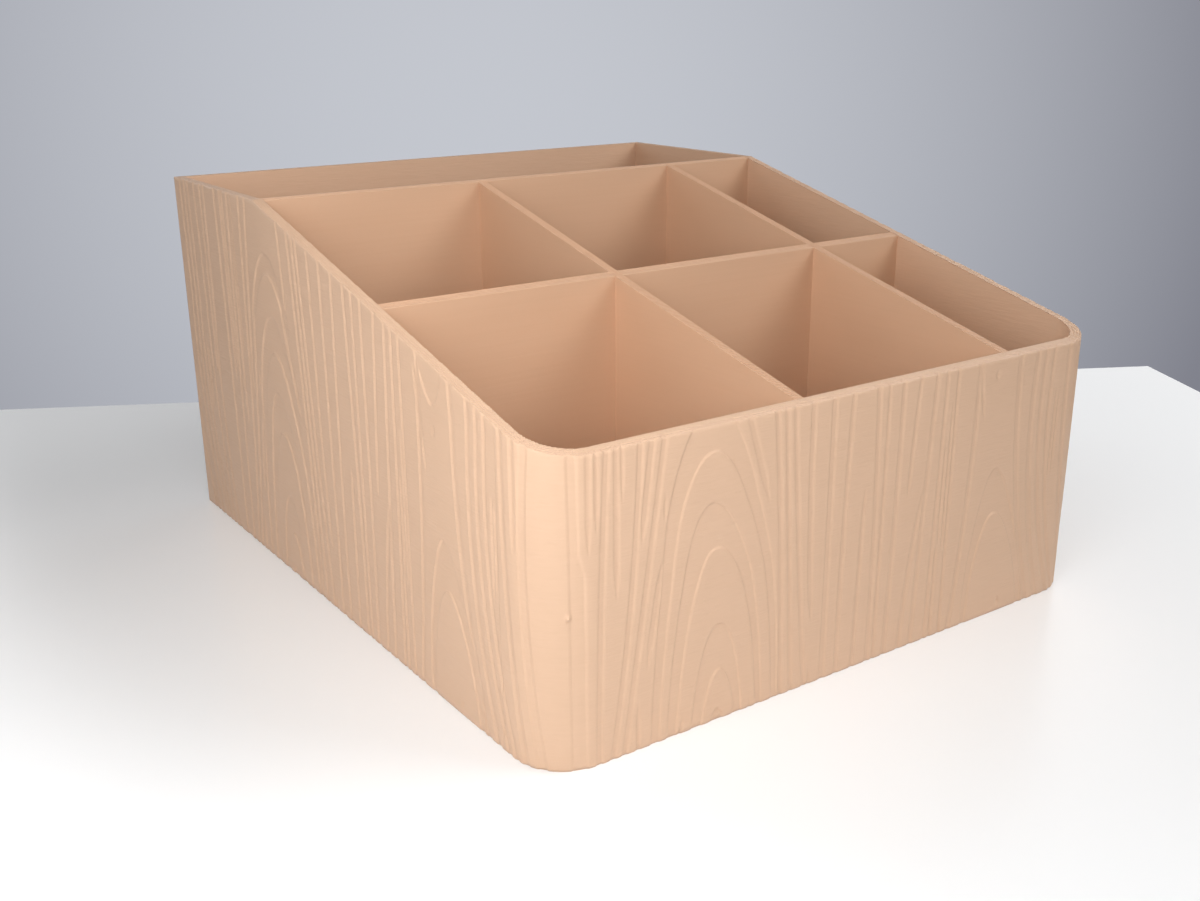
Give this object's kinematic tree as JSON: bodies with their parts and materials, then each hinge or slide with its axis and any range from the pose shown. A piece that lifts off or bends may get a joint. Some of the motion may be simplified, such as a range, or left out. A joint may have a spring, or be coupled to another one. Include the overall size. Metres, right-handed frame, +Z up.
{
  "type": "bathroom organizer",
  "caption": "Open-topped countertop organizer with a sloping rim, rounded front corners, a wood-grain relief outside and straight dividers that make compartments of several sizes.",
  "frame": {"origin": "middle of the footprint, on the surface that the organizer stands on", "axes": "+Z up, the low front wall faces -Y, the narrow column of compartments is on the +X side"},
  "size_m": [0.2, 0.234, 0.12],
  "materials": {
    "wall_plastic": "matte, printed in fine layers, wood-grain relief on the outer face",
    "divider_plastic": "matte, printed in fine layers, smooth faces",
    "floor_plastic": "matte, smooth"
  },
  "bodies": {
    "root": {"base_panel": "floor_plastic", "front_wall": "wall_plastic", "left_wall": "wall_plastic", "right_wall": "wall_plastic", "rear_wall": "wall_plastic", "rear_divider": "divider_plastic", "middle_divider": "divider_plastic", "left_divider": "divider_plastic", "right_divider": "divider_plastic"}
  },
  "joints": []
}
